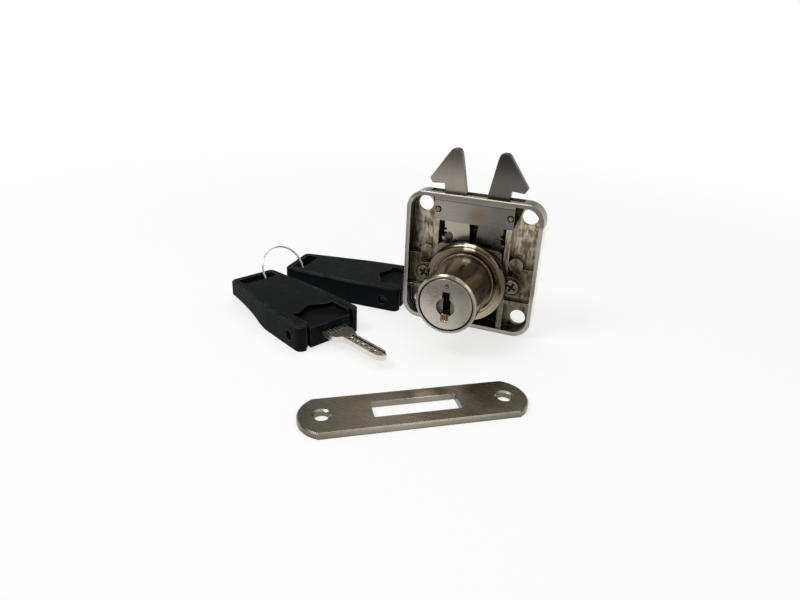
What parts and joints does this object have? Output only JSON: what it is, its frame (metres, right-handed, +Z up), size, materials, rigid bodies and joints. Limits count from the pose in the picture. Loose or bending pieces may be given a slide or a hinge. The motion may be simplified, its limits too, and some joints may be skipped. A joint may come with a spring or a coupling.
{
  "type": "drawer lock",
  "caption": "Square surface drawer lock with a key cylinder and hooks that spread behind a slotted strike plate, with folding keys on a wire ring.",
  "frame": {"origin": "on the table, at the middle of the lower edge face that the case stands on, 2.4 mm behind the plane of the case's rim", "axes": "+X to the right of the lock seen from its key side, +Y from the key side to the case's closed back, +Z up, the way the hooks run out; the strike plate's holes and the key hinges are square to Z"},
  "size_m": [0.0984, 0.0888, 0.0525],
  "materials": {
    "nickel_casting": "nickel plate on a rough zinc casting, polished on the rim",
    "nickel_sheet": "brushed nickel plate on steel sheet",
    "rivet_steel": "nickel plate",
    "nickel_barrel": "turned and nickel plated, slightly warm",
    "trim_metal": "warm nickel plate with a polished rounded edge",
    "screw_steel": "nickel plate",
    "plug_metal": "swirled satin nickel",
    "wafer_brass": "satin",
    "spring_steel": "bright",
    "crank_steel": "satin",
    "post_steel": "satin",
    "hook_steel": "brushed nickel",
    "strike_metal": "brushed nickel",
    "ring_wire": "bright wire",
    "black_plastic": "fine moulded texture",
    "pin_steel": "dull",
    "key_metal": "nickel silver with milled cuts"
  },
  "bodies": {
    "lock_case": {"case": "nickel_casting", "bridge_plate": "nickel_sheet", "bridge_rivet_left": "rivet_steel", "bridge_rivet_right": "rivet_steel", "cylinder_housing": "nickel_barrel", "ear_screw_left": "screw_steel", "ear_screw_right": "screw_steel"},
    "lock_plug": {"plug": "plug_metal", "wafer_1": "wafer_brass", "wafer_2": "wafer_brass", "wafer_3": "wafer_brass", "wafer_4": "wafer_brass", "wafer_5": "wafer_brass", "wafer_springs": "spring_steel", "crank": "crank_steel", "crank_screw": "screw_steel"},
    "bolt_carrier": {"carrier": "nickel_sheet", "hook_post_left": "post_steel", "hook_post_right": "post_steel"},
    "left_hook": {"hook_left": "hook_steel"},
    "right_hook": {"hook_right": "hook_steel"},
    "front_ring": {"trim_ring": "trim_metal"},
    "strike": {"strike_plate": "strike_metal"},
    "near_key": {"near_key_head": "black_plastic", "near_key_pin": "pin_steel"},
    "near_blade": {"near_key_block": "black_plastic", "near_key_blade": "key_metal"},
    "far_key": {"far_key_head": "black_plastic", "far_key_pin": "pin_steel"},
    "far_blade": {"far_key_block": "black_plastic", "far_key_blade": "key_metal"},
    "ring": {"key_ring": "ring_wire"}
  },
  "joints": [
    {"name": "plug_turn", "type": "hinge", "parent": "lock_case", "child": "lock_plug", "pos_m": [0, -0.0024, 0.0158], "axis": [0, -1, 0], "range_deg": [0, 180]},
    {"name": "carrier_slide", "type": "slide", "parent": "lock_case", "child": "bolt_carrier", "axis": [0, 0, -1], "range_m": [0, 0.014]},
    {"name": "right_hook_swing", "type": "hinge", "parent": "bolt_carrier", "child": "right_hook", "pos_m": [0.0073, 0.00085, 0.027], "axis": [0, -1, 0], "range_deg": [0, 12.3]},
    {"name": "left_hook_swing", "type": "hinge", "parent": "bolt_carrier", "child": "left_hook", "pos_m": [-0.0073, 0.00085, 0.027], "axis": [0, 1, 0], "range_deg": [0, 12.3]},
    {"name": "trim_ring_slide", "type": "slide", "parent": "lock_case", "child": "front_ring", "axis": [0, -1, 0], "range_m": [0, 0.0155]},
    {"name": "strike_slide", "type": "slide", "parent": "lock_case", "child": "strike", "axis": [0, -1, 0], "range_m": [0, 0.03]},
    {"name": "key_bunch_slide", "type": "slide", "parent": "lock_case", "child": "near_key", "axis": [-1, 0, 0], "range_m": [0, 0.03]},
    {"name": "far_key_turn", "type": "hinge", "parent": "near_key", "child": "far_key", "pos_m": [-0.0589, 0.0032, 0.0054], "axis": [0, 0, 1], "range_deg": [0, 20]},
    {"name": "ring_turn", "type": "hinge", "parent": "near_key", "child": "ring", "pos_m": [-0.0626, -0.0033, 0.00745], "axis": [0.8106, -0.3047, 0.5], "continuous": true},
    {"name": "near_blade_fold", "type": "hinge", "parent": "near_key", "child": "near_blade", "pos_m": [-0.03634, -0.02674, 0.0034], "axis": [-0.4083, -0.9128, 0], "range_deg": [0, 85]},
    {"name": "far_blade_fold", "type": "hinge", "parent": "far_key", "child": "far_blade", "pos_m": [-0.02759, 0.0079, 0.0034], "axis": [0.0558, -0.9984, 0], "range_deg": [0, 85]}
  ],
  "couplings": [
    {"joint": "carrier_slide", "follows": "plug_turn", "m_per_rad": 0.0044563},
    {"joint": "right_hook_swing", "follows": "plug_turn", "ratio": 0.068333},
    {"joint": "left_hook_swing", "follows": "plug_turn", "ratio": 0.068333}
  ]
}
